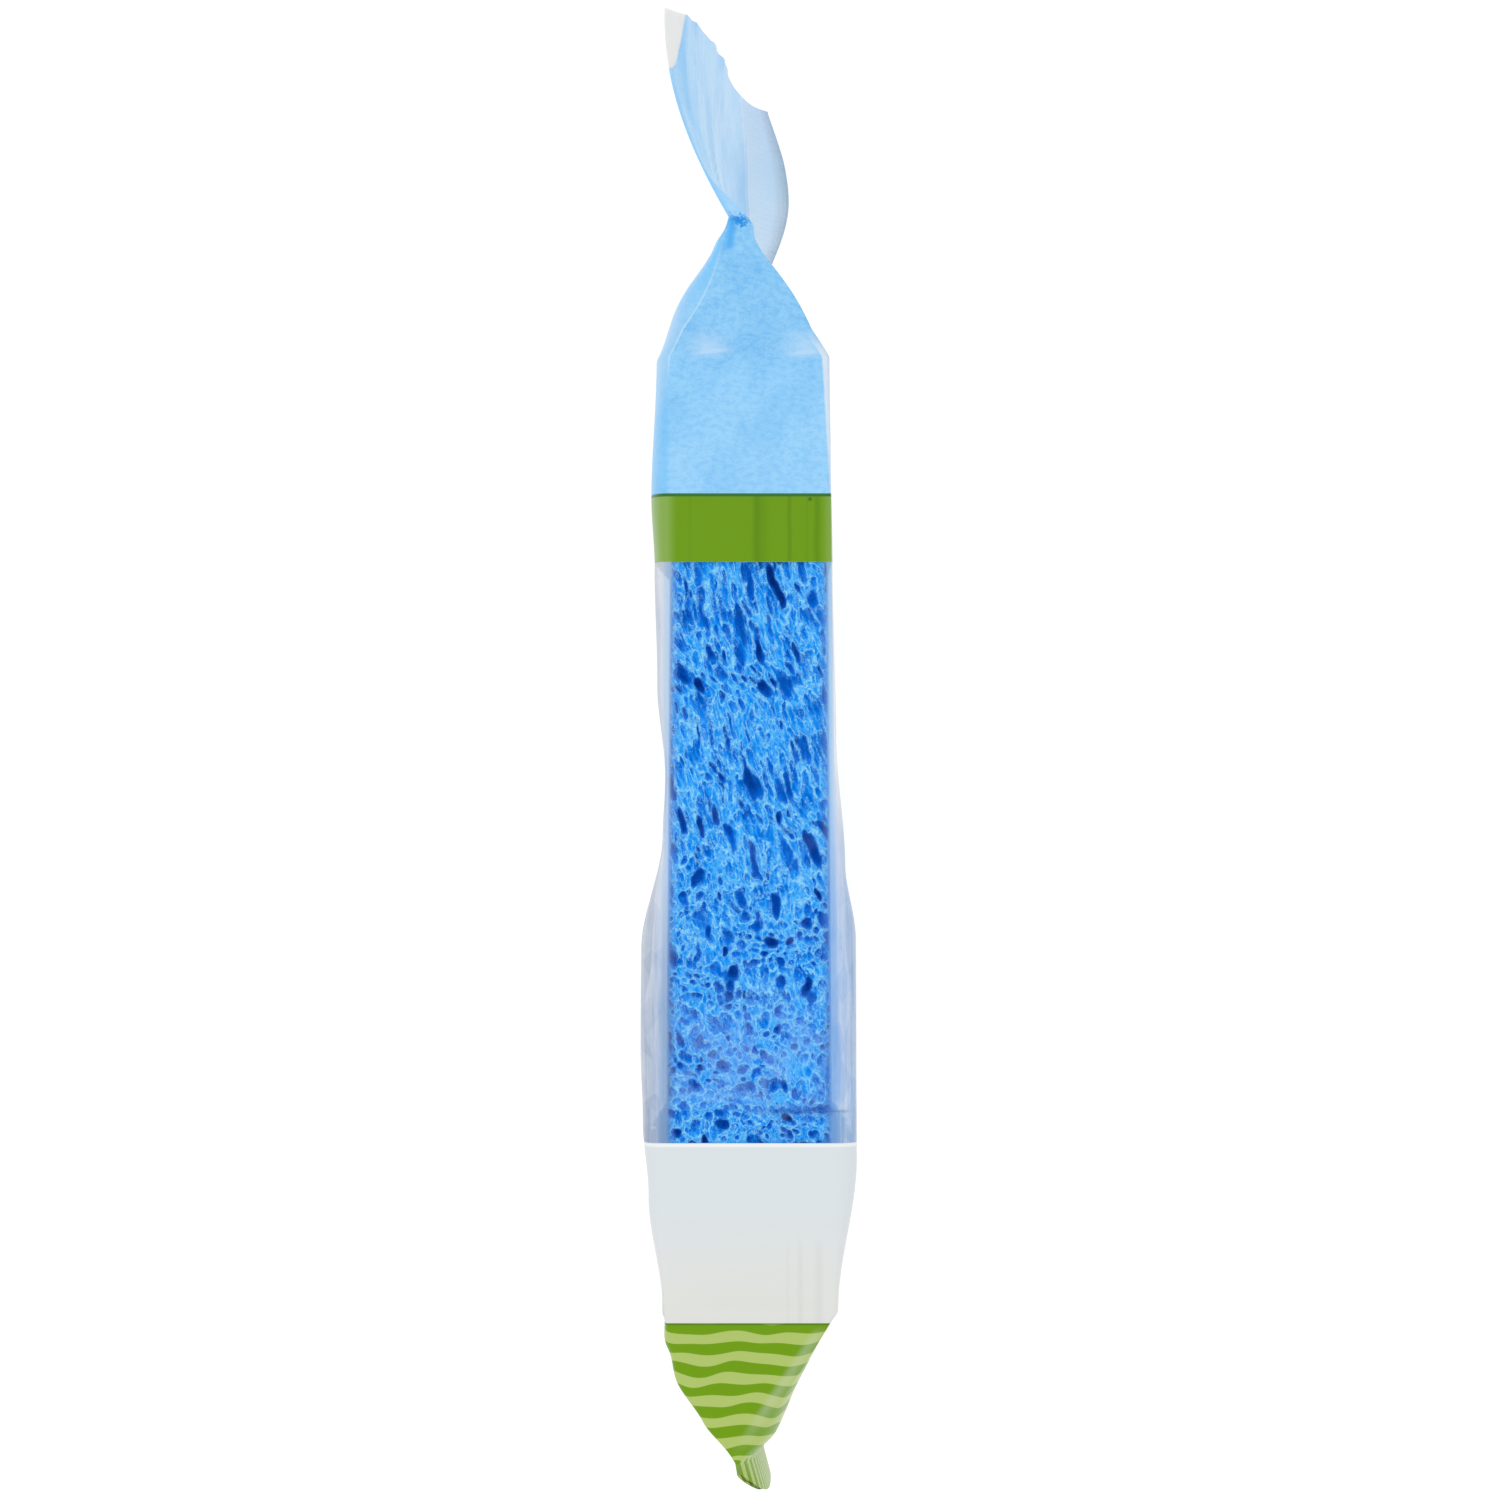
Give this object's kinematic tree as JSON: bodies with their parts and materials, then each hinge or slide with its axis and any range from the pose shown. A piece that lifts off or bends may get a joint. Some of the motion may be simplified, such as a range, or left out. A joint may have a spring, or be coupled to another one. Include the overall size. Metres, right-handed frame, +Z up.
{
  "type": "wrapped bath sponge",
  "caption": "Rectangular cellulose bath sponge sealed in a printed film wrapper with tapered ends, a flat header and a crimped foot seal, resting on a long narrow side",
  "frame": {"origin": "middle of the flat strip of film under the sponge's lower narrow side, at the height of what it rests on", "axes": "X runs through the sponge's thickness, +Y along its length towards the header, +Z up its width"},
  "size_m": [0.0352, 0.2366, 0.1197],
  "materials": {
    "cellulose_sponge": "matte blue open-pored regenerated cellulose",
    "printed_film": "glossy clear film with light blue, green and white printed fields and a clear window"
  },
  "bodies": {
    "root": {"sponge": "cellulose_sponge", "film_wrapper": "printed_film"}
  },
  "joints": []
}
